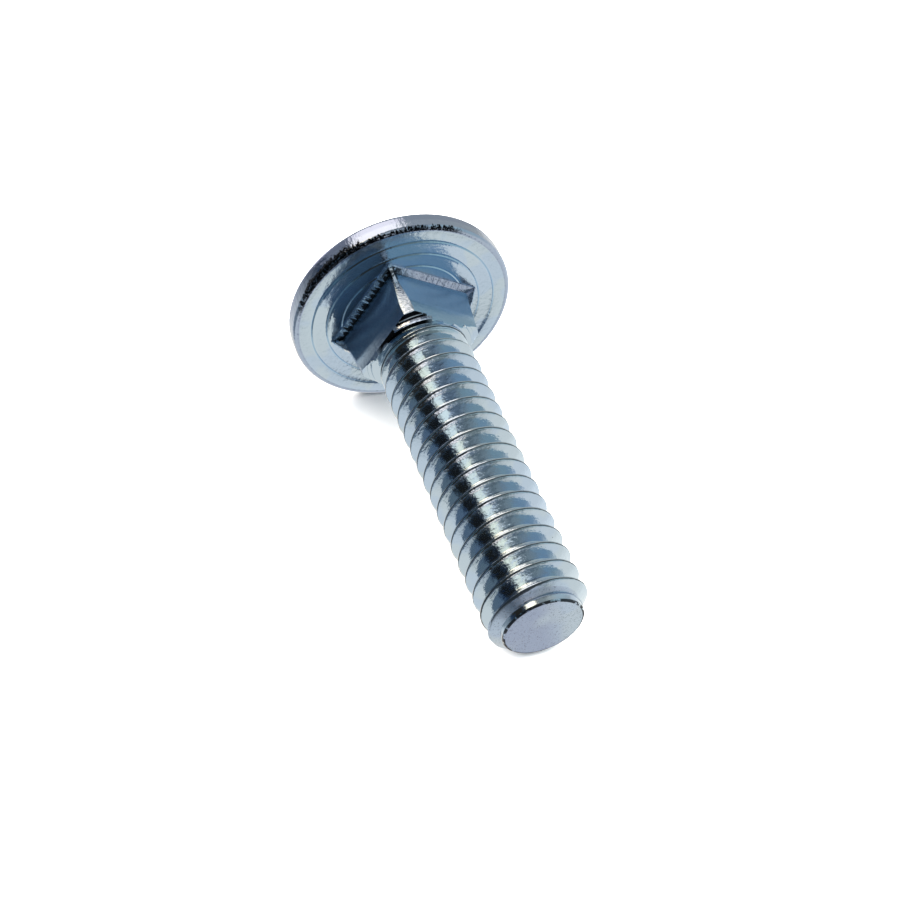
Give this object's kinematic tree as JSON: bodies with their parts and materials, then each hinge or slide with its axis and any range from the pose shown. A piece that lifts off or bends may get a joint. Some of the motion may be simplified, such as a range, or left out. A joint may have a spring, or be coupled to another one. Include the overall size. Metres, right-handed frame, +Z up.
{
  "type": "carriage bolt",
  "caption": "Carriage bolt with a low domed round head, a square neck under it and a rolled thread up to the neck, lying on its side.",
  "frame": {"origin": "centre of the head's flat underside, where the bolt's grip length is measured from", "axes": "+X level and towards the point end as the bolt lies, +Z up. The bolt's own axis lies in the XZ plane and dips 9.8 degrees below +X, because the bolt rests on the rim of its head and on its last thread crest"},
  "size_m": [0.0292, 0.0148, 0.0147],
  "materials": {
    "zinc_plated_steel": "bright zinc plate with a clear blue passivate"
  },
  "bodies": {
    "root": {"carriage_bolt": "zinc_plated_steel"}
  },
  "joints": []
}
